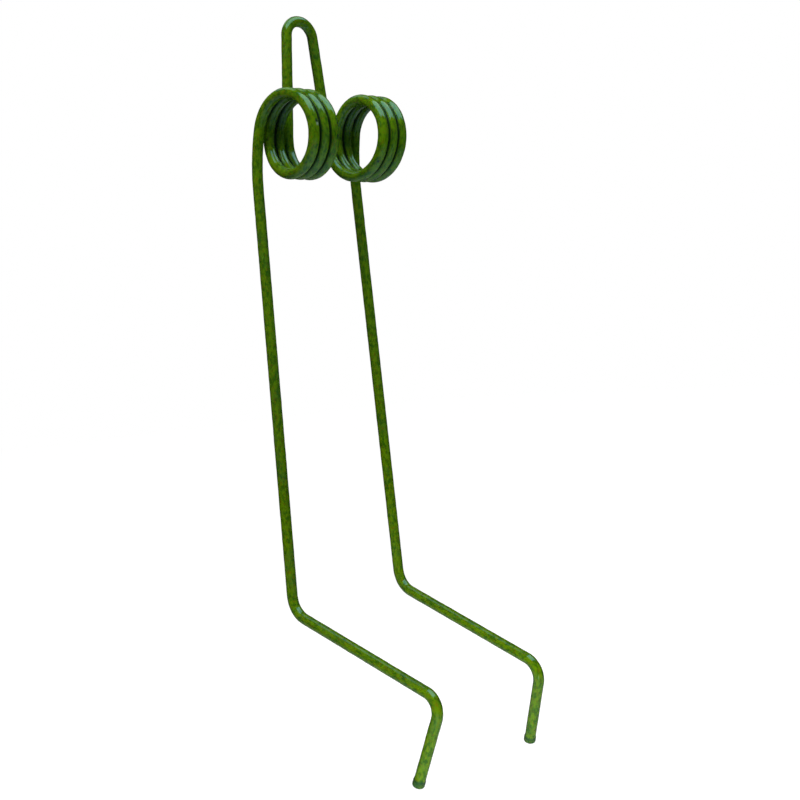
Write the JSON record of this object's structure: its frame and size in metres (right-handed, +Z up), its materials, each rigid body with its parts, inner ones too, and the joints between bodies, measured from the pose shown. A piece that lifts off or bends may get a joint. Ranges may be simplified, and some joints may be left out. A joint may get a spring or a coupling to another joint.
{
  "type": "harrow tine",
  "caption": "Double spring tine of round wire for a harrow: a bolt hairpin between two coils, and legs that jog forward and end in toes raked back.",
  "frame": {"origin": "centre of the hairpin's top bend, where the fixing bolt sits", "axes": "+Z up along the hairpin and away from the toes, +Y to the rear along the fixing bolt and away from the way the toes reach, +X across the pair from the left half to the right half"},
  "size_m": [0.122, 0.1524, 0.5463],
  "materials": {
    "green_paint": "gloss"
  },
  "bodies": {
    "root": {"tine_wire": "green_paint"}
  },
  "joints": []
}
